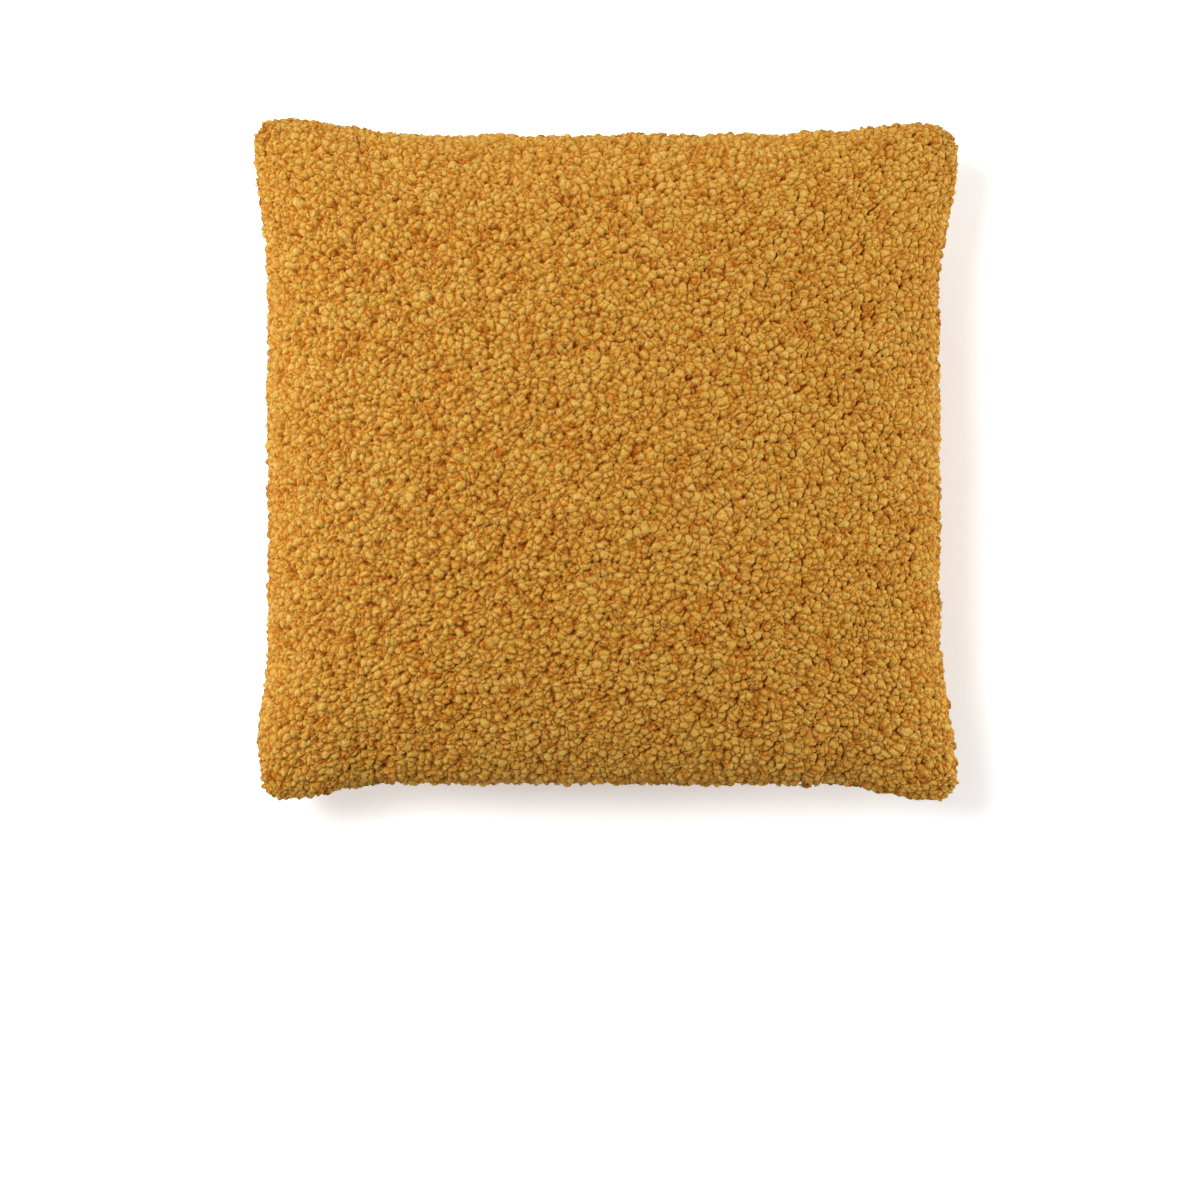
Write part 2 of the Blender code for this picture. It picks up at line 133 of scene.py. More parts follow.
def gridFaces(ids, flip=False):
    quads = np.stack([ids[:-1, :-1], ids[1:, :-1], ids[1:, 1:], ids[:-1, 1:]], -1).reshape(-1, 4)
    return quads[:, ::-1] if flip else quads


def rimIds(count):
    ids = np.arange(count * count).reshape(count, count)
    return np.concatenate([ids[:-1, 0], ids[-1, :-1], ids[:0:-1, -1], ids[0, :0:-1]])


def valueNoise(x, y, size, seed):
    # smooth noise from -1 to 1 with blobs about size across
    rng = np.random.default_rng(seed)
    table = rng.uniform(-1, 1, (64, 64))
    u, v = x / size, y / size
    i, j = np.floor(u).astype(int), np.floor(v).astype(int)
    a, b = u - i, v - j
    a, b = a * a * (3 - 2 * a), b * b * (3 - 2 * b)
    pick = lambda di, dj: table[(i + di) % 64, (j + dj) % 64]
    return ((1 - a) * (1 - b) * pick(0, 0) + a * (1 - b) * pick(1, 0)
            + (1 - a) * b * pick(0, 1) + a * b * pick(1, 1))


# the cover's shape: a 450 mm square of cloth on each side, sewn round a stuffed insert

cover = {
    "cut": 0.450,                # finished size of each flat panel, seam to seam
    "seamHeight": 0.058,
    "pile": 2.2 * mm,            # how far the knots stand out of the backing
    "waist": {"left": 0.008, "right": 0.0115, "top": 0.009, "bottom": 0.011},
    "earStart": 0.50,
    "earStartBottom": 0.60,      # the zip keeps the bottom side straight for longer
    "earEnd": 0.96,
    "earRadius": 0.014,
    "earPullTopRight": 0.006,
    "earPullBottomLeft": 0.006,
    "earSharpness": 8,
    "fullness": 0.75,     # of the start; the simulation fills it the rest of the way
    "weave": 96,                 # squares across the simulated cloth
    "simFrames": 12,
    "pressure": 100.0,
    "stretch": 150.0,
    "lumps": 2.2 * mm,           # unevenness of the stuffing
    "plumpness": 0.62,           # the filling packs the cover out towards its seams; 1 is none of that
    "sag": 8 * mm,
    "sagEdge": 4 * mm,
    "steepBand": 0.1,            # of the half width, where the sides stand steep and knots crowd in plan
    "crowding": 0.42,            # their spacing in plan at the seam, against that in the middle
    "pucker": 1.6 * mm,
    "puckerSizes": (19 * mm, 9 * mm),
    "puckerStart": 7 * mm,       # from the seam to the ridges' full height, and how fast they fade
    "puckerReach": 26 * mm,
    # each ear's crease: which corner, and its depth
    "earCreases": ((1, -1, 3.2 * mm), (1, 1, 1.4 * mm), (-1, 1, 1.0 * mm), (-1, -1, 1.8 * mm)),
    "creaseReach": 32 * mm,
    "creaseWidth": 4.5 * mm,
    "creaseBend": 4 * mm,
    "rimWave": 1.5 * mm,
    "rimWaves": (21 * mm, 11 * mm, 23 * mm),     # along the top, two sizes, and along the sides
    "lipGap": 0.08 * mm,         # from the middle of the seam to each panel
    "zipGap": 0.5 * mm,          # and beside the zip, where the slider's neck passes
    "zipHalf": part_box("zip_tape_front")[1].x,
    "zipEnds": 14 * mm,          # beyond the tape, where the allowance still parts
    "lipFade": 8 * mm,
    # the allowance: how far in each row is, and its distance from the seam's middle, plain and by the zip
    "hem": ((1.5 * mm, 0.35 * mm, 0.8 * mm), (4.2 * mm, 0.35 * mm, 0.8 * mm),
            (5.0 * mm, 0.35 * mm, 3.1 * mm), (9.0 * mm, 0.35 * mm, 3.1 * mm), (13 * mm, 0.35 * mm, 3.1 * mm)),
}
low, high = Vector(cadBox[0]), Vector(cadBox[1])
halfX, halfY = (high.x - low.x) / 2 - cover["pile"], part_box("cover_front_panel")[1].y - cover["pile"]
topHeight = high.z


def roundCorners(s, t):
    # turns the square's corners into the ears' round ends
    edgeS, edgeT = 1 - cover["earRadius"] / halfX, 1 - cover["earRadius"] / halfY
    p = np.clip((np.abs(s) - edgeS) / (1 - edgeS), 0, None)
    q = np.clip((np.abs(t) - edgeT) / (1 - edgeT), 0, None)
    inCorner = (p > 0) & (q > 0)
    roundS = edgeS + p * np.sqrt(1 - q * q / 2) * (1 - edgeS)
    roundT = edgeT + q * np.sqrt(1 - p * p / 2) * (1 - edgeT)
    return (np.where(inCorner, np.sign(s) * roundS, s), np.where(inCorner, np.sign(t) * roundT, t))


def planPlace(s, t):
    # from the panel's own square to its outline seen from above
    waist = cover["waist"]
    start, end = cover["earStart"], cover["earEnd"]
    drawX = np.where(s > 0, waist["right"], waist["left"]) * (1 - smoothstep(start, end, np.abs(t)))
    topDraw = waist["top"] * (1 - smoothstep(start, end, np.abs(s)))
    bottomDraw = waist["bottom"] * (1 - smoothstep(cover["earStartBottom"], end, np.abs(s)))
    drawY = np.where(t > 0, topDraw, bottomDraw)
    x = s * halfX - np.sign(s) * np.abs(s) ** 3 * drawX
    y = t * halfY - np.sign(t) * np.abs(t) ** 3 * drawY
    ear = (np.abs(s) * np.abs(t)) ** cover["earSharpness"]
    y = y - np.where((s > 0) & (t > 0), cover["earPullTopRight"] * ear, 0)
    x = x + np.where((s < 0) & (t < 0), cover["earPullBottomLeft"] * ear, 0)
    return x, y


def startShape():
    # both panels as grids of points: the flat cut, and a half-filled start for the simulation
    line = np.linspace(-1, 1, cover["weave"] + 1)
    s, t = roundCorners(*np.meshgrid(line, line, indexing="ij"))
    x, y = planPlace(s, t)
    lift = np.clip((1 - s ** 2) * (1 - t ** 2), 0, None) ** cover["fullness"]
    flat = np.stack([s, t, np.zeros_like(s)], -1) * cover["cut"] / 2
    sheets = []
    for side, rise in ((1, topHeight - cover["seamHeight"]), (-1, cover["seamHeight"])):
        unevenness = cover["lumps"] * lift ** 0.25 * (
            valueNoise(x + side, y, 0.055, 3 + side) + 0.5 * valueNoise(x - side, y, 0.028, 7 + side))
        z = cover["seamHeight"] + side * (0.93 * rise * lift + unevenness)
        sheets.append(np.stack([x, y, z], -1))
    return flat, sheets[0], sheets[1]


def inflate(flat, front, back):
    # cloth simulation: the seam is held on its outline while the filling presses both panels out
    count = front.shape[0]
    ids = np.arange(count * count).reshape(count, count)
    seam = np.zeros((count, count), bool)
    seam[0] = seam[-1] = seam[:, 0] = seam[:, -1] = True
    backIds = np.where(seam, ids, 0)
    backIds[~seam] = count * count + np.arange((~seam).sum())
    cutShape = np.concatenate([flat.reshape(-1, 3), flat[~seam]])
    startPlaces = np.concatenate([front.reshape(-1, 3), back[~seam]])
    faces = np.concatenate([gridFaces(ids), gridFaces(backIds, flip=True)])
    balloon = meshObject("balloon", cutShape, faces, bpy.data.materials.new("cloth"))
    balloon.shape_key_add(name="cut")
    start = balloon.shape_key_add(name="start")
    start.data.foreach_set("co", startPlaces.astype(np.float32).ravel())
    start.value = 1.0
    held = balloon.vertex_groups.new(name="seam")
    held.add([int(i) for i in ids[seam]], 1.0, "REPLACE")
    cloth = balloon.modifiers.new("cloth", "CLOTH")
    settings = cloth.settings
    settings.quality = 5
    settings.mass = 0.3
    settings.tension_stiffness = settings.compression_stiffness = cover["stretch"]
    settings.shear_stiffness = 20
    settings.bending_stiffness = 0.05
    settings.vertex_group_mass = held.name
    settings.rest_shape_key = balloon.data.shape_keys.key_blocks["cut"]
    settings.use_pressure = True
    settings.uniform_pressure_force = cover["pressure"]
    settings.effector_weights.gravity = 0
    cloth.collision_settings.use_collision = False
    cloth.point_cache.frame_end = cover["simFrames"] + 1
    scene = bpy.context.scene
    for number in range(1, cover["simFrames"] + 1):
        scene.frame_set(number)
    solved = balloon.evaluated_get(bpy.context.evaluated_depsgraph_get())
    places = np.zeros(len(startPlaces) * 3, np.float32)
    solved.data.vertices.foreach_get("co", places)
    places = places.reshape(-1, 3).astype(float)
    bpy.data.objects.remove(balloon, do_unlink=True)
    scene.frame_set(1)
    return places[ids], places[backIds]


def smoothGrid(grid, rounds):
    # evens out the simulated sheet and keeps its seam
    for _ in range(rounds):
        inner = (grid[:-2, 1:-1] + grid[2:, 1:-1] + grid[1:-1, :-2] + grid[1:-1, 2:]) / 4
        grid[1:-1, 1:-1] = 0.5 * grid[1:-1, 1:-1] + 0.5 * inner
    return grid


def settleCover():
    flat, front, back = startShape()
    front, back = inflate(flat, front, back)
    front, back = smoothGrid(front, 3), smoothGrid(back, 3)
    seam, pile = cover["seamHeight"], cover["pile"]
    rise, depth = np.clip(front[..., 2] - seam, 0, None), np.clip(seam - back[..., 2], 0, None)
    front[..., 2] = seam + (topHeight - pile - seam) * (rise / rise.max()) ** cover["plumpness"]
    # the pillow's weight presses its underside flat, with a soft turn at the edge of the flat
    limit, soft = seam - pile, cover["sagEdge"]
    depth = (limit + cover["sag"]) * (depth / depth.max()) ** cover["plumpness"]
    depth = np.where(depth > limit - soft, limit - soft * np.exp(-(depth - limit + soft) / soft), depth)
    back[..., 2] = seam - depth
    return front, back


# boucle: curled knots of yarn that crowd together like cobbles, with creases between them that are dark from
# real shade and from shade painted into the colour
boucle = {
    "step": 0.6 * mm,            # mesh spacing on the front
    "stepBack": 0.9 * mm,
    "knot": 4.5 * mm,            # from one knot to the next
    "knotRadius": (2.1 * mm, 3.8 * mm),
    "under": 3.4 * mm,           # smaller knots that fill in between, and how far they lie below
    "underRadius": (1.5 * mm, 2.5 * mm),
    "underDepth": 0.75 * mm,
    "underLift": 0.5 * mm,
    "jitter": 0.5,
    "sunk": 0.45,                # of each ball's radius, below the pile's middle
    "pit": 0.35,                 # of the largest radius, how deep the gaps between balls go
    "lift": 1.1 * mm,            # between the highest knots and the lowest
    "warp": 1.5 * mm,            # how far the curls stray from round
    "warpSizes": ((9 * mm, 1.0, 1), (3.1 * mm, 0.5, 3)),     # size, share and draw of each bend
    "curl": 1.75 * mm,           # small lumps on each knot
    "curlHeight": 0.45 * mm,
    "groove": 0.42 * mm,         # how quickly the creases round each knot open out, and their depth
    "grooveDepth": 0.6 * mm,
    "flank": 1.1 * mm,           # how far up a knot's side the creases' painted shade reaches
    "patch": 12 * mm,            # groups of knots, with deeper creases between them
    "patchDepth": 0.9 * mm,
    "foldWidth": 0.7 * mm,
    "overlap": 0.3 * mm,         # how far a large knot covers the small ones beside it
    "shade": {"groove": 0.7, "flank": 0.4, "fold": 0.35, "curl": 0.15},      # how strongly each paints shade into the colour
    "swell": 0.5 * mm,           # the pile's slow rise and fall
    "seed": 11,
    "overPull": 4.6 * mm,        # how far the knots stand out past the lips, over the pull tab
    "behindPull": 1.3 * mm,      # and under it
    "rimLift": 0.9 * mm,         # the knots that the seam squeezes out
    "lipLift": 2.4 * mm,
    "lipBlend": 2 * mm,          # how much knots differ where the zip's lips end
    "rimBand": 5 * mm,           # where knots turn to point outwards
    "strays": 800,               # loops of yarn that stand out of the pile
    "strayRadius": (0.9 * mm, 2.0 * mm),
    "yarn": 0.34 * mm,
    "curlSize": 1.7 * mm,        # of the curls, fuzz and uneven dye in the material; the curls also carry painted shade, and the fuzz partly painted fibre sheen
    "fuzzSize": 1.3 * mm,
    "dyeSize": 30 * mm,
}


def resample(grid, count, crowding=1.0):
    # cubic interpolation of a grid of points to count points a side, that crowd along the steep sides
    def weights(old, new):
        even = np.linspace(-1, 1, new)
        inward = 1 - np.abs(even)
        near = np.minimum(inward, cover["steepBand"])
        inward = inward - (1 - crowding) * (near - near ** 2 / (2 * cover["steepBand"]))
        place = (np.sign(even) * (1 - inward / inward.max()) + 1) / 2 * (old - 1)
        i = np.minimum(place.astype(int), old - 2)
        t = place - i
        table = np.zeros((new, old))
        kernel = (-t ** 3 / 2 + t ** 2 - t / 2, 1.5 * t ** 3 - 2.5 * t ** 2 + 1,
                  -1.5 * t ** 3 + 2 * t ** 2 + t / 2, t ** 3 / 2 - t ** 2 / 2)
        for offset, weight in zip((-1, 0, 1, 2), kernel):
            column = i + offset
            inside = np.clip(column, 0, old - 1)
            np.add.at(table, (np.arange(new), inside), weight)
            # past the edge, the grid goes on in a straight line
            before, after = column < 0, column > old - 1
            np.add.at(table, (np.arange(new)[before], np.full(before.sum(), 0)), weight[before])
            np.add.at(table, (np.arange(new)[before], np.full(before.sum(), 1)), -weight[before])
            np.add.at(table, (np.arange(new)[after], np.full(after.sum(), old - 1)), weight[after])
            np.add.at(table, (np.arange(new)[after], np.full(after.sum(), old - 2)), -weight[after])
        return table
    table = weights(grid.shape[0], count)
    return np.einsum("ai,bj,ijk->abk", table, table, grid, optimize=True)


def gridNormals(grid):
    along, across = np.gradient(grid, axis=0), np.gradient(grid, axis=1)
    normal = np.cross(along, across)
    return normal / np.maximum(np.linalg.norm(normal, axis=-1, keepdims=True), 1e-12)


def roundCells(u, v, spacing, radii, lift, seed):
    # balls of uneven size, strewn a spacing apart and sunk in one another: the height of the topmost at each
    # place, how far it rises above the next one there, and a random number for each ball
    size = 256
    rng = np.random.default_rng(seed)
    offset = rng.uniform(-boucle["jitter"], boucle["jitter"], (2, size, size))
    radius = rng.uniform(*radii, (size, size))
    raised = rng.uniform(-0.5, 0.5, (size, size)) * lift
    own = rng.uniform(0, 1, (size, size))
    column, row = np.floor(u / spacing).astype(int), np.floor(v / spacing).astype(int)
    floor = -radii[1]
    height, second, number = np.full(u.shape, floor), np.full(u.shape, floor), np.zeros(u.shape)
    for i in (-1, 0, 1):
        for j in (-1, 0, 1):
            pick = (column + i) % size, (row + j) % size
            x = u - (column + i + 0.5 + offset[0][pick]) * spacing
            y = v - (row + j + 0.5 + offset[1][pick]) * spacing
            r = radius[pick]
            up = np.sqrt(np.clip(r * r - x * x - y * y, 0, None))
            top = np.where(up > 0, up - boucle["sunk"] * r + raised[pick], floor)
            higher = top > height
            second = np.where(higher, height, np.maximum(second, top))
            height = np.where(higher, top, height)
            number = np.where(higher, own[pick], number)
    pit = -boucle["pit"] * radii[1]
    height, second = np.maximum(height, pit), np.maximum(second, pit)
    return height, height - second, number


def knotField(u, v, seed):
    # the pile's height, a painted shade that darkens the colour in its creases, up the knots' sides and along
    # the patches' folds, and a tone for each knot, on the flat cloth
    warp = boucle["warp"]
    for size, share, number in boucle["warpSizes"]:
        u, v = (u + share * warp * valueNoise(u, v, size, seed + number),
                v + share * warp * valueNoise(u, v, size, seed + number + 1))
    ball, clear, own = roundCells(u, v, boucle["knot"], boucle["knotRadius"], boucle["lift"], seed)
    small, smallClear, smallOwn = roundCells(u + 0.1, v, boucle["under"], boucle["underRadius"],
                                             boucle["underLift"], seed + 4)
    small = small - boucle["underDepth"]
    clear = np.where(small > ball, np.minimum(smallClear, small - ball),
                     np.minimum(clear, ball - small + boucle["overlap"]))
    own = np.where(small > ball, smallOwn, own)
    ball = np.maximum(small, ball)
    groove = np.exp(-clear / boucle["groove"])
    patch = boucle["patch"]
    split = roundCells(u, v, patch, (0.75 * patch, 0.95 * patch), 0.0, seed + 5)[1]
    fold = np.exp(-split / boucle["foldWidth"])
    curl = boucle["curl"]
    lumps, lumpClear, _ = roundCells(u, v, curl, (0.5 * curl, 0.85 * curl), 0.3 * curl, seed + 6)
    height = ball - boucle["grooveDepth"] * groove - boucle["patchDepth"] * fold
    height = height + boucle["curlHeight"] * (lumps / curl + 0.3)
    height = height + boucle["swell"] * valueNoise(u, v, 17 * mm, seed + 8)
    flank = np.exp(-clear / boucle["flank"])
    shade = boucle["shade"]
    # painted shade: the colour darkens where shade falls, in the creases, up the knots' flanks, in the
    # patches' folds and between the small lumps
    paintedShade = (1 - shade["groove"] * groove) * (1 - shade["flank"] * flank) * (1 - shade["fold"] * fold)
    paintedShade = paintedShade * (1 - shade["curl"] * np.exp(-lumpClear / (0.15 * mm)))
    return height, paintedShade, own


def outwardFrom(grid, s, t):
    # level directions that point out of the pillow, from the nearest sides
    along, across = np.gradient(grid, axis=0), np.gradient(grid, axis=1)
    sharp = 10
    out = (along * (np.sign(s) * np.abs(s) ** sharp)[..., None]
           + across * (np.sign(t) * np.abs(t) ** sharp)[..., None])
    out[..., 2] = 0
    return out / np.maximum(np.linalg.norm(out, axis=-1, keepdims=True), 1e-9)


def strayLoops(places, normals, edge, seed):
    # half rings of yarn rooted in the pile, most of them near the seam and the ears
    rng = np.random.default_rng(seed)
    flatPlaces, flatNormals = places.reshape(-1, 3), normals.reshape(-1, 3)
    chance = 0.15 + np.exp(-edge.ravel() / (9 * mm)) * 4
    roots = rng.choice(len(chance), boucle["strays"], replace=False, p=chance / chance.sum())
    vertices, faces, tones = [], [], []
    sides, steps = 5, 9
    for root in roots:
        up = Vector(flatNormals[root])
        side = up.orthogonal().normalized()
        side.rotate(Matrix.Rotation(rng.uniform(0, 2 * math.pi), 3, up))
        radius = rng.uniform(*boucle["strayRadius"])
        lean = side.cross(up) * rng.uniform(-0.6, 0.6)
        base = Vector(flatPlaces[root]) - up * 0.9 * mm
        sweep = rng.uniform(1.1, 1.9) * math.pi
        first = len(vertices)
        tone = rng.uniform(0.3, 1.0)
        for step in range(steps + 1):
            angle = sweep * step / steps
            ahead = (side * -math.sin(angle) + (up + lean) * math.cos(angle)).normalized()
            middle = base + side * radius * math.cos(angle) + (up + lean) * radius * math.sin(angle) * 0.8
            across = ahead.cross(side + up).normalized()
            other = ahead.cross(across)
            for turn in range(sides):
                a = 2 * math.pi * turn / sides
                vertices.append(middle + (across * math.cos(a) + other * math.sin(a)) * boucle["yarn"])
                tones.append(tone)
        for step in range(steps):
            for turn in range(sides):
                a, b = first + step * sides, first + (step + 1) * sides
                faces.append((a + turn, a + (turn + 1) % sides, b + (turn + 1) % sides, b + turn))
    return np.array(vertices), np.array(faces), np.array(tones), roots


def puckers(s, t, edge, side):
    # how the seams gather the cloth: soft ridges across each side that fade inwards, as a rise of the crown
    along = np.where(np.abs(s) > np.abs(t), t, s) * halfX
    which = np.where(np.abs(s) > np.abs(t), np.where(s > 0, 1, 2), np.where(t > 0, 3, 4))
    ridge = valueNoise(along + which, which * 1.0, cover["puckerSizes"][0], 90 + side)
    ridge = ridge + 0.5 * valueNoise(along + which, which * 1.0, cover["puckerSizes"][1], 93 + side)
    fade = smoothstep(0, cover["puckerStart"], edge) * np.exp(-edge / cover["puckerReach"])
    return cover["pucker"] * ridge * fade * np.where(which == 3, 1.4, 1.0)


def creases(s, t):
    # the folds where each ear meets the stuffed part: an arc across the corner, sunk in
    sunk = np.zeros_like(s)
    for signS, signT, depth in cover["earCreases"]:
        a, b = (1 - s * signS) * halfX, (1 - t * signT) * halfY
        reach = np.sqrt(a ** 2 + b ** 2 + 0.8 * a * b)
        bend = cover["creaseBend"] * np.sin(b / (7 * mm) + signS)
        line = np.exp(-((reach - cover["creaseReach"] + bend) / cover["creaseWidth"]) ** 2)
        sunk = sunk + depth * line * smoothstep(0, 12 * mm, np.minimum(a, b) + 6 * mm)
    return sunk


def waveRim(x, y, s, t):
    # the seam's own waviness seen from above, none of it along the zip
    rim = np.maximum(np.abs(s), np.abs(t)) ** 6
    top = (np.abs(t) > np.abs(s)) & (t > 0)
    long, short, beside = cover["rimWaves"]
    wave = valueNoise(x + 3, y * 0 + 1.7, long, 31) + 0.6 * valueNoise(x + 3, y * 0 + 2.9, short, 32)
    sideWave = valueNoise(y + 3, x * 0 + 4.1 + np.sign(s), beside, 33)
    y = y + np.where(top, cover["rimWave"] * wave * rim, 0)
    x = x + np.where(np.abs(s) > np.abs(t), 0.6 * cover["rimWave"] * sideWave * rim, 0)
    return x, y


def coverPanel(name, grid, side, step, seed, material):
    cut, seam = cover["cut"], cover["seamHeight"]
    count = int(round(cut / step)) + 1
    fine = resample(grid, count, cover["crowding"])
    line = np.linspace(-1, 1, count)
    s, t = np.meshgrid(line, line, indexing="ij")
    u, v = s * cut / 2, t * cut / 2
    edge = cut / 2 - np.maximum(np.abs(u), np.abs(v))
    fine[..., 2] += side * puckers(s, t, edge, side) * np.clip(np.abs(fine[..., 2] - seam) / (20 * mm), 0, 1)
    if side > 0:
        fine[..., 2] -= creases(s, t) * smoothstep(0, 12 * mm, fine[..., 2] - seam)
    fine[..., 0], fine[..., 1] = waveRim(fine[..., 0], fine[..., 1], s, t)
    height, paintedShade, tone = knotField(u + 0.5, v + 0.5, seed)
    zipHalf, fade = cover["zipHalf"], cover["lipFade"]
    onZip = smoothstep(0, 1, (zipHalf + fade - np.abs(fine[..., 0])) / fade)
    onZip = onZip * (t < 0) * (np.abs(t) > np.abs(s))
    out = outwardFrom(fine, s, t)
    atRim = 1 - smoothstep(0, boucle["rimBand"], edge)
    direction = gridNormals(fine) * side * (1 - atRim)[..., None] + out * atRim[..., None]
    direction /= np.maximum(np.linalg.norm(direction, axis=-1, keepdims=True), 1e-9)
    # the seam pulls the pile in a little, and the zip's lips lie flatter still
    height = height + boucle["rimLift"] * atRim * (1 - onZip)
    # the front's knots hang over the pull, the back's stay behind it
    proud = cover["pile"] + (boucle["overPull"] if side > 0 else boucle["behindPull"])
    blend = boucle["lipBlend"]
    fuller = np.minimum(height + boucle["lipLift"] * onZip * (side > 0), proud + (1 - onZip) * blend)
    height = np.where(onZip > 0, np.maximum(fuller, -blend * (1 - onZip * atRim)), height)
    outline = fine.reshape(-1, 3)[rimIds(count)]
    fine = fine + direction * height[..., None]
    gap = cover["lipGap"] + (cover["zipGap"] - cover["lipGap"]) * onZip
    fine[..., 2] = seam + side * np.maximum(side * (fine[..., 2] - seam), gap)
    fine[..., 2] = np.maximum(fine[..., 2], 0.1 * mm)

    places = fine.reshape(-1, 3)
    faces = gridFaces(np.arange(count * count).reshape(count, count), flip=side < 0)
    # each point's painted crease shade and knot tone; the hem and the stray loops take set values of both
    paintedShades, tones = paintedShade.ravel(), tone.ravel()
    flatUv = np.stack([u, v], -1).reshape(-1, 2) / cut
    # the allowance turned in behind the seam: bare backing, that parts round the zip
    rim = rimIds(count)
    last = rim
    zipReach = zipHalf + cover["zipEnds"]
    inside = np.abs(outline[:, 0]) < zipReach
    bottom = (v.ravel()[rim] <= -cut / 2 + step) & inside
    for inward, plain, parted in cover["hem"]:
        ring = outline.copy()
        ring[:, :2] *= 1 - inward / np.array([halfX, halfY])
        ring[:, 2] = seam + side * np.where(bottom, parted, plain)
        ids = len(places) + np.arange(len(rim))
        band = np.stack([last, np.roll(last, -1), np.roll(ids, -1), ids], -1)
        places, last = np.concatenate([places, ring]), ids
        faces = np.concatenate([faces, band[:, ::-1] if side > 0 else band])
        paintedShades = np.concatenate([paintedShades, np.full(len(rim), 0.35)])
        tones = np.concatenate([tones, np.full(len(rim), 0.5)])
        flatUv = np.concatenate([flatUv, flatUv[rim] * (1 + inward / cut * 2)])
    loops, loopFaces, loopTones, roots = strayLoops(fine, direction, edge, seed + 9)
    loops[:, 2] = np.maximum(loops[:, 2], 0.1 * mm)
    nearZip = (np.abs(loops[:, 0]) < zipReach) & (loops[:, 1] < -halfY + cover["waist"]["bottom"] + 3 * mm)
    keep = ~nearZip.reshape(len(roots), -1).any(1)
    perLoop = len(loops) // len(roots)
    faceKeep = np.repeat(keep, len(loopFaces) // len(roots))
    kept = np.repeat(keep, perLoop)
    newIds = np.cumsum(kept) - 1
    faces = np.concatenate([faces, newIds[loopFaces[faceKeep]] + len(places)])
    places = np.concatenate([places, loops[kept]])
    paintedShades = np.concatenate([paintedShades, np.full(kept.sum(), 0.9)])
    tones = np.concatenate([tones, loopTones[kept]])
    flatUv = np.concatenate([flatUv, flatUv[np.repeat(roots, perLoop)][kept]])

    piece = meshObject(name, places, faces, material)
    mesh = piece.data
    for label, values in (("knotPaintedShade", paintedShades), ("knotTone", tones)):
        layer = mesh.attributes.new(label, "FLOAT", "POINT")
        layer.data.foreach_set("value", values.astype(np.float32))
    uvs = mesh.uv_layers.new(name="OFBake")
    corner = np.zeros(len(mesh.loops), np.int32)
    mesh.loops.foreach_get("vertex_index", corner)
    uvs.data.foreach_set("uv", (flatUv[corner] * 0.92 + 0.5).astype(np.float32).ravel())
    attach(piece, "cushion")
    print(name, len(mesh.vertices), "points")
    return piece


def boucleMaterial():
    # boucle: looped acrylic yarn, knitted and brushed up into knots. Matt and soft, a warm mustard, with
    # painted shade that turns it deep red-brown in the creases, where light bounces from yarn to yarn, and
    # painted fibre sheen that makes it pale on the tips of the fibres
    material = newMaterial("mustardBoucle", 0.95, Specular_IOR_Level=0.12, Sheen_Weight=0.08,
                           Sheen_Roughness=0.5, Sheen_Tint=linearColour("#e8b850"))
    paintedShade = addNode(material, "Attribute", {"attribute_name": "knotPaintedShade"}).outputs["Fac"]
    tone = addNode(material, "Attribute", {"attribute_name": "knotTone"}).outputs["Fac"]
    place = addNode(material, "TexCoord").outputs["Object"]
    # single curls of fibre and the yarn's finer fuzz, both drawn coarser than they are
    curlsAndShade = addNode(material, "TexVoronoi", {"feature": "SMOOTH_F1"}, Vector=place,
                    Scale=1 / boucle["curlSize"])
    fuzzAndSheen = addNode(material, "TexNoise", Vector=place, Scale=1 / boucle["fuzzSize"], Detail=3.0, Roughness=0.7)
    broad = addNode(material, "TexNoise", Vector=place, Scale=1 / boucle["dyeSize"], Detail=2.0)
    # the colour: the painted crease shade, plus the fuzz, partly the yarn's uneven colour and partly painted
    # fibre sheen, each knot's tone, the curls darker towards their edges as painted shade, and the uneven dye
    mixed = paintedShade
    for source, weight in ((fuzzAndSheen.outputs["Fac"], 1.4), (tone, 0.1), (curlsAndShade.outputs["Distance"], -0.5),
                           (broad.outputs["Fac"], 0.2)):
        mixed = addNode(material, "Math", {"operation": "MULTIPLY_ADD"}, i0=source, i1=weight,
                        i2=mixed).outputs[0]
    share = addNode(material, "MapRange", Value=mixed, From_Min=0.31, From_Max=1.79)
    # the ramp runs from the painted crease shade, deep red-brown, to the knots' mustard
    colour = addNode(material, "ValToRGB", stops=(
        (0.0, "#782200"), (0.3, "#96460a"), (0.55, "#b2701f"), (0.78, "#c0923a"), (1.0, "#ccaa5a")),
        i0=share.outputs[0]).outputs["Color"]
    relief = addNode(material, "Math", {"operation": "MULTIPLY_ADD"}, i0=curlsAndShade.outputs["Distance"], i1=-1.1,
                     i2=fuzzAndSheen.outputs["Fac"])
    return dress(material, colour, relief.outputs[0], 1.0, 0.8 * mm)


frontGrid, backGrid = settleCover()
print("cover settled")
mustard = boucleMaterial()
frontPanel = coverPanel("coverFront", frontGrid, 1, boucle["step"], boucle["seed"], mustard)
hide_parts("cover_front_panel")
backPanel = coverPanel("coverBack", backGrid, -1, boucle["stepBack"], boucle["seed"] + 40, mustard)
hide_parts("cover_back_panel")


# the insert: a white non-woven casing stuffed with polyester fibre, hidden inside the cover

insert = {
    "squares": 110,
    "samples": 180,              # points from the middle to the seam that the layers pick from
    "reach": 0.905,              # where its edge lies, as a share of the way to the cover's seam
    "casingDepth": 3.6 * mm,     # under the cover's backing
    "fillDepth": 5.0 * mm,
    "seamGap": 0.6 * mm,
    "wrinkle": 0.35 * mm,
    "tufts": 1.0 * mm,
    "dotPitch": 1.4 * mm,        # the bond points pressed into the non-woven cloth
}


def sampleGrid(grid, reach, count):
    # the middle of a sheet, out to a share of the way to its seam
    half = insert["samples"]
    fine = resample(grid, 2 * half + 1)
    pick = np.linspace(half - half * reach, half + half * reach, count).round().astype(int)
    return fine[np.ix_(pick, pick)]


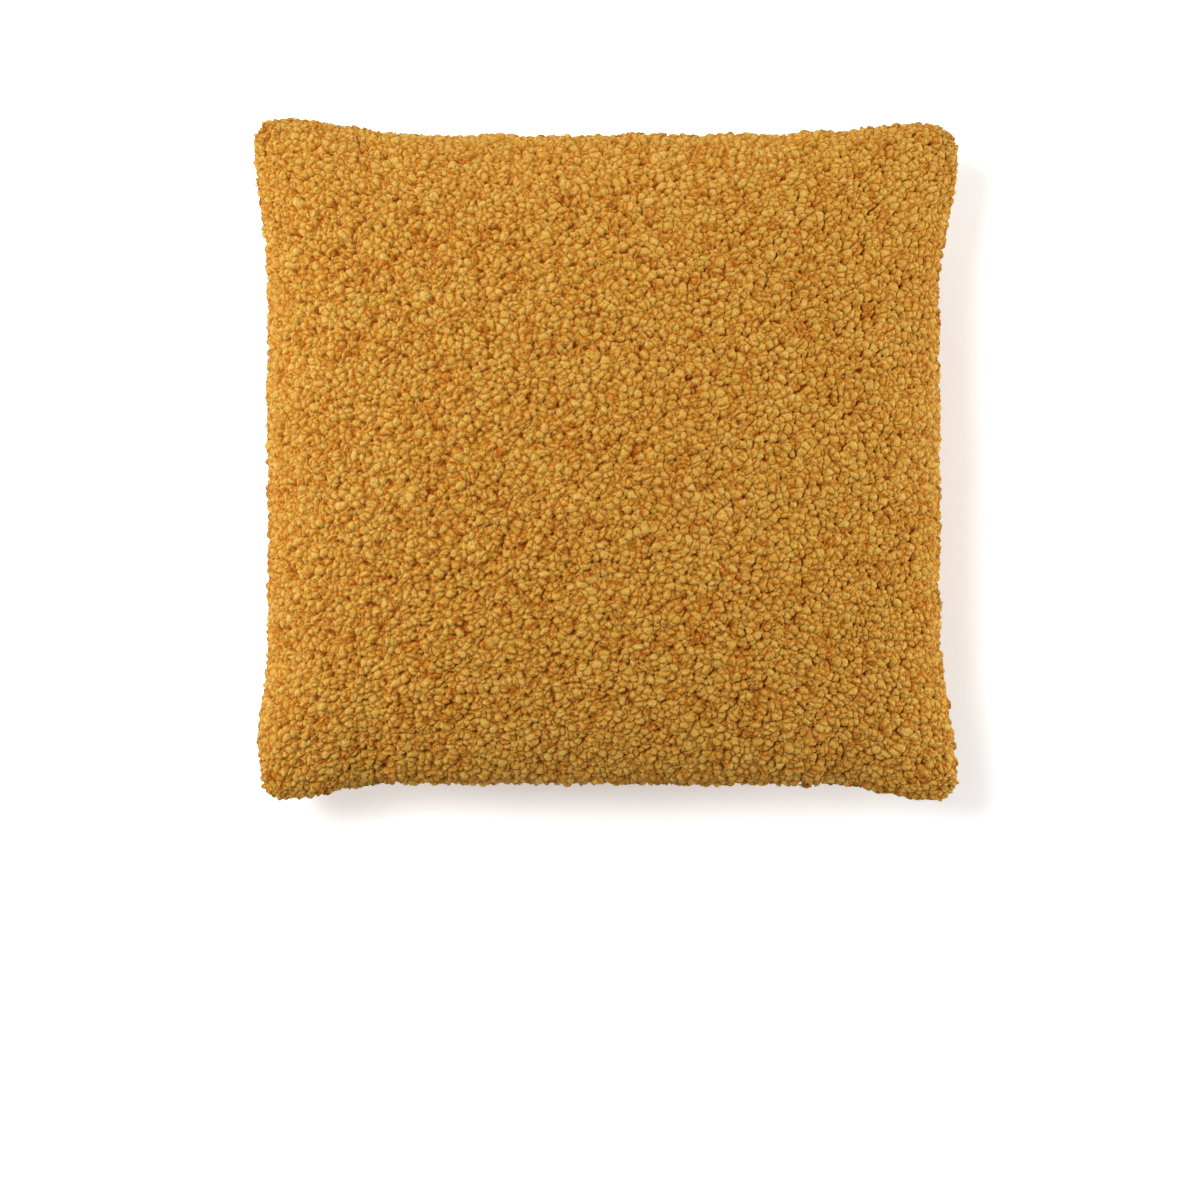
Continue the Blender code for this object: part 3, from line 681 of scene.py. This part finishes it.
def insertLayer(grid, side, depth, roughness, seed):
    # one half of a layer: its crown under the cover, then an upright edge down to the seam
    count = insert["squares"] + 1
    sheet = sampleGrid(grid, insert["reach"], count)
    x, y = sheet[..., 0], sheet[..., 1]
    noise = valueNoise(x + 2, y + 2, 14 * mm, seed) + 0.7 * valueNoise(x + 2, y + 2, 6 * mm, seed + 1)
    sheet = sheet - gridNormals(sheet) * side * (depth + roughness * (1 + noise))[..., None]
    rim = rimIds(count)
    places = sheet.reshape(-1, 3)
    foot = places[rim].copy()
    foot[:, 2] = cover["seamHeight"] + side * insert["seamGap"]
    faces = gridFaces(np.arange(count * count).reshape(count, count), flip=side < 0)
    after = np.roll(np.arange(len(rim)), -1)
    wall = np.stack([rim, count * count + np.arange(len(rim)), count * count + after, rim[after]], -1)
    if side > 0:
        wall = wall[:, ::-1]
    return np.concatenate([places, foot]), np.concatenate([faces, wall]), count * count + np.arange(len(rim))


def casingMaterial():
    # spunbond polypropylene: thin, white and slightly shiny, with a grid of small pressed dots
    material = newMaterial("whiteSpunbond", 0.6)
    place = addNode(material, "TexCoord").outputs["Object"]
    dots = addNode(material, "TexVoronoi", Vector=place, Scale=1 / insert["dotPitch"], Randomness=0.15)
    pressed = addNode(material, "MapRange", Value=dots.outputs["Distance"], From_Min=0.1, From_Max=0.35)
    fibre = addNode(material, "TexNoise", Vector=place, Scale=1 / (3 * mm), Detail=6.0)
    shade = addNode(material, "Math", {"operation": "MULTIPLY"}, i0=pressed.outputs[0],
                    i1=fibre.outputs["Fac"])
    colour = addNode(material, "ValToRGB", stops=((0.0, "#d5d4cf"), (0.6, "#f1f0ec")), i0=shade.outputs[0])
    return dress(material, colour.outputs["Color"], pressed.outputs[0], 0.5, 0.15 * mm)


def fibreMaterial():
    # carded hollow polyester: white and soft, each fibre with a faint silky line
    material = newMaterial("polyesterFibre", 0.9, Sheen_Weight=0.3)
    place = addNode(material, "TexCoord").outputs["Object"]
    strands = addNode(material, "TexNoise", Vector=place, Scale=1 / (4 * mm), Detail=8.0, Distortion=2.0)
    colour = addNode(material, "ValToRGB", stops=((0.3, "#dcdcd8"), (0.7, "#fafaf7")),
                     i0=strands.outputs["Fac"])
    return dress(material, colour.outputs["Color"], strands.outputs["Fac"], 0.7, 0.6 * mm)


def buildInsert():
    casing, fibre = casingMaterial(), fibreMaterial()
    for name, node, grid, side in (("casingFront", "insert_casing_front", frontGrid, 1),
                                   ("casingBack", "insert_casing_back", backGrid, -1)):
        places, faces, _ = insertLayer(grid, side, insert["casingDepth"], insert["wrinkle"], 60 + side)
        half = meshObject(name, places, faces, casing)
        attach(half, "cushion")
        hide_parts(node)
    top, topFaces, topFoot = insertLayer(frontGrid, 1, insert["fillDepth"], insert["tufts"], 71)
    under, underFaces, underFoot = insertLayer(backGrid, -1, insert["fillDepth"], insert["tufts"], 75)
    after = np.roll(np.arange(len(topFoot)), -1)
    shift = len(top)
    band = np.stack([topFoot, topFoot[after], underFoot[after] + shift, underFoot + shift], -1)[:, ::-1]
    filling = meshObject("filling", np.concatenate([top, under]),
                         np.concatenate([topFaces, underFaces + shift, band]), fibre)
    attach(filling, "cushion")
    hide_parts("insert_filling")


buildInsert()
print("insert made")


# the carried-over pieces: thread, tape, nylon, painted zinc and the label
trims = {
    "threadTwist": 0.9 * mm,     # from one turn of the plies to the next
    "tapeRib": 0.8 * mm,         # woven ribs, drawn a little coarse
    "coilPitch": 1.3 * mm,       # one turn of the nylon coil
    "coilWire": 0.17 * mm,
    "labelWave": 0.5 * mm,
    "labelBend": 1.2 * mm,
    "labelThick": 0.25 * mm,
    "labelClear": 4 * mm,        # between its free end and the insert's crown
    "eyeRadius": 1.1 * mm,       # the pull's eye: outside, bore and half width
    "eyeBore": 0.6 * mm,
    "eyeHalf": 1.3 * mm,
    "bladeHalf": 0.5 * mm,
}


def threadMaterial():
    # spun polyester sewing thread: three plies twisted together, dull with a little silk
    material = newMaterial("spunPolyesterThread", 0.7, Sheen_Weight=0.2)
    place = addNode(material, "TexCoord").outputs["Object"]
    plies = addNode(material, "TexWave", {"bands_direction": "DIAGONAL"}, Vector=place,
                    Scale=1 / trims["threadTwist"] / 3, Distortion=1.0)
    colour = addNode(material, "ValToRGB", stops=((0.0, "#9c6418"), (1.0, "#cd9638")), i0=plies.outputs["Fac"])
    return dress(material, colour.outputs["Color"], plies.outputs["Fac"], 0.6, 0.1 * mm)


def tapeMaterial():
    # woven polyester tape: fine ribs along its length, crossed by the weft
    material = newMaterial("wovenZipTape", 0.85, Sheen_Weight=0.1)
    place = addNode(material, "TexCoord").outputs["Object"]
    ribs = addNode(material, "TexWave", {"bands_direction": "Y"}, Vector=place, Scale=0.314 / trims["tapeRib"])
    weft = addNode(material, "TexWave", {"bands_direction": "X"}, Vector=place, Scale=0.314 / trims["tapeRib"])
    weave = addNode(material, "Math", {"operation": "MULTIPLY"}, i0=ribs.outputs["Fac"],
                    i1=weft.outputs["Fac"])
    colour = addNode(material, "ValToRGB", stops=((0.0, "#8d5b16"), (0.8, "#b98431")), i0=weave.outputs[0])
    return dress(material, colour.outputs["Color"], weave.outputs[0], 0.5, 0.12 * mm)


def nylonMaterial():
    # dyed nylon monofilament: smooth, slightly see-through, with a soft gloss
    material = newMaterial("dyedNylon", 0.38, IOR=1.53, Subsurface_Weight=0.15, Subsurface_Scale=0.3 * mm)
    place = addNode(material, "TexCoord").outputs["Object"]
    streaks = addNode(material, "TexNoise", Vector=place, Scale=1 / (2 * mm), Detail=2.0)
    colour = addNode(material, "ValToRGB", stops=((0.3, "#a36f22"), (0.7, "#c08b36")),
                     i0=streaks.outputs["Fac"])
    return dress(material, colour.outputs["Color"])


def zincMaterial():
    # die-cast zinc under baked mustard paint: smooth, a satin gloss, fine orange peel
    material = newMaterial("paintedZinc", 0.42, Coat_Weight=0.06, Coat_Roughness=0.25, Specular_IOR_Level=0.3)
    place = addNode(material, "TexCoord").outputs["Object"]
    peel = addNode(material, "TexNoise", Vector=place, Scale=1 / (0.7 * mm), Detail=2.0)
    colour = addNode(material, "ValToRGB", stops=((0.3, "#9c5c06"), (0.7, "#a8680c")), i0=peel.outputs["Fac"])
    return dress(material, colour.outputs["Color"], peel.outputs["Fac"], 0.25, 0.05 * mm)


def satinMaterial():
    # woven satin ribbon: smooth white floats that shine along the ribbon
    material = newMaterial("satinRibbon", 0.35, Sheen_Weight=0.2, Anisotropic=0.5)
    place = addNode(material, "TexCoord").outputs["Object"]
    floats = addNode(material, "TexWave", {"bands_direction": "Y"}, Vector=place, Scale=0.314 / (0.6 * mm),
                     Distortion=0.4)
    colour = addNode(material, "ValToRGB", stops=((0.0, "#dfdcd2"), (1.0, "#f2efe7")),
                     i0=floats.outputs["Fac"])
    return dress(material, colour.outputs["Color"], floats.outputs["Fac"], 0.3, 0.05 * mm)


def sweep(points, radius, sides):
    # a round tube along a path of points, open at its ends
    points = np.asarray(points, float)
    ahead = np.gradient(points, axis=0)
    ahead /= np.linalg.norm(ahead, axis=1, keepdims=True)
    guide = np.array([0.31, 0.11, 0.94])
    across = np.cross(ahead, guide)
    across /= np.linalg.norm(across, axis=1, keepdims=True)
    other = np.cross(ahead, across)
    angles = np.arange(sides) * 2 * math.pi / sides
    rings = (points[:, None] + radius * (across[:, None] * np.cos(angles)[None, :, None]
                                         + other[:, None] * np.sin(angles)[None, :, None]))
    ids = np.arange(len(points) * sides).reshape(len(points), sides)
    after = np.roll(ids, -1, axis=1)
    faces = np.stack([ids[:-1], after[:-1], after[1:], ids[1:]], -1).reshape(-1, 4)
    return rings.reshape(-1, 3), faces


def buildCoils(nylon):
    # each coil is one long spiral of nylon, with a flat turn towards its partner
    for side in ("front", "back"):
        low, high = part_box("zip_coil_" + side)
        turns = int((high.x - low.x) / trims["coilPitch"])
        perTurn = 12
        angle = np.arange(turns * perTurn + 1) * 2 * math.pi / perTurn
        reach = (high.z - low.z) / 2 - trims["coilWire"]
        points = np.stack([low.x + (high.x - low.x) * np.linspace(0.001, 0.999, len(angle)),
                           (low.y + high.y) / 2 + reach * np.cos(angle),
                           (low.z + high.z) / 2 + reach * np.sin(angle)], -1)
        places, faces = sweep(points, trims["coilWire"], 6)
        coil = meshObject("zipCoil" + side.capitalize(), places, faces, nylon)
        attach(coil, "cushion")
        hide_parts("zip_coil_" + side)


def buildPull(zinc):
    # the pull tab: a drop-shaped blade with a soft rim and a dished face, hung from a round eye
    low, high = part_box("zip_pull_tab")
    eyeRadius, eyeHalf, bore = trims["eyeRadius"], trims["eyeHalf"], trims["eyeBore"]
    centre = Vector(((low.x + high.x) / 2, (low.y + high.y) / 2, high.z - eyeRadius))
    half, length = (high.x - low.x) / 2, centre.z - low.z
    share = np.linspace(0, 1, 33)
    down = eyeRadius * 0.75 + share * (length - eyeRadius * 0.75)
    width = eyeHalf + (half - eyeHalf) * smoothstep(0.0, 0.75, share)
    tip = length - half
    width = np.where(down > tip, np.sqrt(np.clip(half ** 2 - (down - tip) ** 2, 0, None)), width)
    width = np.maximum(width, 0.02 * mm)
    # across the blade: rim, bevel and dished middle
    lanes = np.array([-1, -0.97, -0.88, -0.72, -0.6, -0.3, 0, 0.3, 0.6, 0.72, 0.88, 0.97, 1])
    face = np.array([0.3, 0.72, 1.0, 1.0, 0.72, 0.66, 0.66, 0.66, 0.72, 1.0, 1.0, 0.72, 0.3])
    thick = trims["bladeHalf"] * face[None, :] * (0.25 + 0.75 * smoothstep(0, 0.06, 1 - share))[:, None]
    x = centre.x + width[:, None] * lanes[None, :]
    z = centre.z - np.repeat(down[:, None], len(lanes), 1)
    front = np.stack([x, centre.y - thick, z], -1)
    back = np.stack([x, centre.y + thick, z], -1)
    ids = np.arange(front[..., 0].size).reshape(front.shape[:2])
    count = ids.size
    faces = [gridFaces(ids), gridFaces(ids + count, flip=True)]
    rim = np.concatenate([ids[:-1, 0], ids[-1, :-1], ids[:0:-1, -1], ids[0, :0:-1]])
    faces.append(np.stack([rim, rim + count, np.roll(rim, -1) + count, np.roll(rim, -1)], -1))
    places = [front.reshape(-1, 3), back.reshape(-1, 3)]
    # the eye: a ring turned about the bail's bar, with rounded edges
    soft = 0.15 * mm
    section = [(eyeHalf - soft, bore), (eyeHalf, bore + soft), (eyeHalf, eyeRadius - soft),
               (eyeHalf - soft, eyeRadius), (-eyeHalf + soft, eyeRadius), (-eyeHalf, eyeRadius - soft),
               (-eyeHalf, bore + soft), (-eyeHalf + soft, bore)]
    steps = 32
    ring = [(centre.x + across, centre.y + radius * math.sin(2 * math.pi * k / steps),
             centre.z + radius * math.cos(2 * math.pi * k / steps))
            for k in range(steps) for across, radius in section]
    ringIds = np.arange(steps * len(section)).reshape(steps, len(section)) + 2 * count
    nextRing, nextLane = np.roll(ringIds, -1, axis=0), np.roll(ringIds, -1, axis=1)
    faces.append(np.stack([ringIds, nextRing, np.roll(nextRing, -1, axis=1), nextLane], -1).reshape(-1, 4))
    places.append(np.array(ring))
    pull = meshObject("pullTab", np.concatenate(places), np.concatenate(faces), zinc)
    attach(pull, "zip_pull")
    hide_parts("zip_pull_tab")


def buildLabel(satin):
    # a blank ribbon, sewn in at the seam, that lies on the allowance and then stands up beside the insert
    low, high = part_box("care_label")
    rows, columns = 34, 18
    nearest = np.hypot(frontGrid[..., 0] - high.x, frontGrid[..., 1] - (low.y + high.y) / 2).argmin()
    crown = frontGrid.reshape(-1, 3)[nearest, 2] - insert["casingDepth"] - trims["labelClear"]
    run, rise, bend = high.x - low.x, min(high.z, crown) - low.z, trims["labelBend"]
    flatRun, arc = run - bend, bend * math.pi / 2
    length = flatRun + arc + rise - bend
    along = np.linspace(0, length, rows)
    turn = np.clip((along - flatRun) / bend, 0, math.pi / 2)
    x = low.x + np.minimum(along, flatRun) + bend * np.sin(turn)
    z = low.z + 0.15 * mm + bend * (1 - np.cos(turn)) + np.clip(along - flatRun - arc, 0, None)
    y = np.linspace(low.y, high.y, columns)
    wave = trims["labelWave"] * np.sin(np.linspace(0, 2.2 * math.pi, columns))[None, :]
    wave = wave * (along / length)[:, None] ** 2
    places = np.stack([np.repeat(x[:, None], columns, 1) - np.abs(wave), np.repeat(y[None], rows, 0),
                       np.repeat(z[:, None], columns, 1)], -1)
    ids = np.arange(rows * columns).reshape(rows, columns)
    label = meshObject("careLabel", places.reshape(-1, 3), gridFaces(ids), satin)
    shell = label.modifiers.new("thickness", "SOLIDIFY")
    shell.thickness = trims["labelThick"]
    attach(label, "cushion")
    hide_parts("care_label")


def dressNodes(looks):
    # carried-over nodes keep their shape and take a finish by the first words of their names
    for name, node in nodes.items():
        for start, material in looks:
            if name.startswith(start):
                node.data.materials.clear()
                node.data.materials.append(material)


thread, tape, nylon, zinc = threadMaterial(), tapeMaterial(), nylonMaterial(), zincMaterial()
dressNodes((("cover_seam", thread), ("cover_overlock", thread), ("zip_end", thread), ("zip_stitch", thread),
            ("zip_overlock", thread), ("zip_tape", tape), ("zip_top", zinc), ("zip_bottom", zinc),
            ("zip_slider", zinc), ("insert_seam", casingMaterial()), ("insert_closing", casingMaterial())))
buildCoils(nylon)
buildPull(zinc)
buildLabel(satinMaterial())
print("trims made")


# the stage: a bright white table, a soft key from the upper left, strips at both sides, and the camera
# straight above
stage = {
    "frameWidth": 0.750,         # what the picture spans at the seam's height
    "lens": 85.0,
    "aimX": -0.004,
    "aimY": -0.0875,
    "worldLight": 0.38,
    "tableReach": 20.0,
    "tableGlow": 0.24,           # the table is lit from below, as a light table
    "lamps": {                   # place, size and watts
        "key": ((-0.8, 0.38, 1.6), 0.8, 25.5),
        "top": ((0.1, 1.6, 0.6), 1.0, 11.0),
        "left": ((-1.7, 0.0, 0.35), 0.7, 14.0),
        "right": ((1.7, -0.1, 0.35), 0.7, 23.0),
    },
}


def buildStage():
    table = newMaterial("whiteLightTable", 0.9, Base_Color=linearColour("#f4f4f4"), Specular_IOR_Level=0.0,
                        Emission_Color=(1, 1, 1, 1), Emission_Strength=stage["tableGlow"])
    reach = stage["tableReach"]
    places = np.array([[x, y, 0] for x in (-reach, reach) for y in (-reach, reach)], float)
    floor = meshObject("tableTop", places, gridFaces(np.arange(4).reshape(2, 2)), table, smooth=False)
    world = bpy.data.worlds.new("studio")
    bpy.context.scene.world = world
    world.use_nodes = True
    background = world.node_tree.nodes["Background"]
    background.inputs["Color"].default_value = (1, 1, 1, 1)
    background.inputs["Strength"].default_value = stage["worldLight"]
    for name, (place, size, power) in stage["lamps"].items():
        light = bpy.data.lights.new(name, "AREA")
        light.size = size
        light.energy = power
        lamp = bpy.data.objects.new(name, light)
        lamp.location = place
        lamp.rotation_euler = (Vector((0, 0, 0.05)) - Vector(place)).to_track_quat("-Z", "Y").to_euler()
        bpy.context.scene.collection.objects.link(lamp)


def buildCamera():
    lens = bpy.data.cameras.new("camera")
    lens.lens = stage["lens"]
    lens.sensor_width = 36.0
    camera = bpy.data.objects.new("camera", lens)
    distance = stage["frameWidth"] * stage["lens"] / lens.sensor_width
    camera.location = (stage["aimX"], stage["aimY"], cover["seamHeight"] + distance)
    bpy.context.scene.collection.objects.link(camera)
    bpy.context.scene.camera = camera


buildStage()
buildCamera()
bpy.context.scene.view_settings.view_transform = "Standard"
bpy.context.scene.view_settings.look = "None"
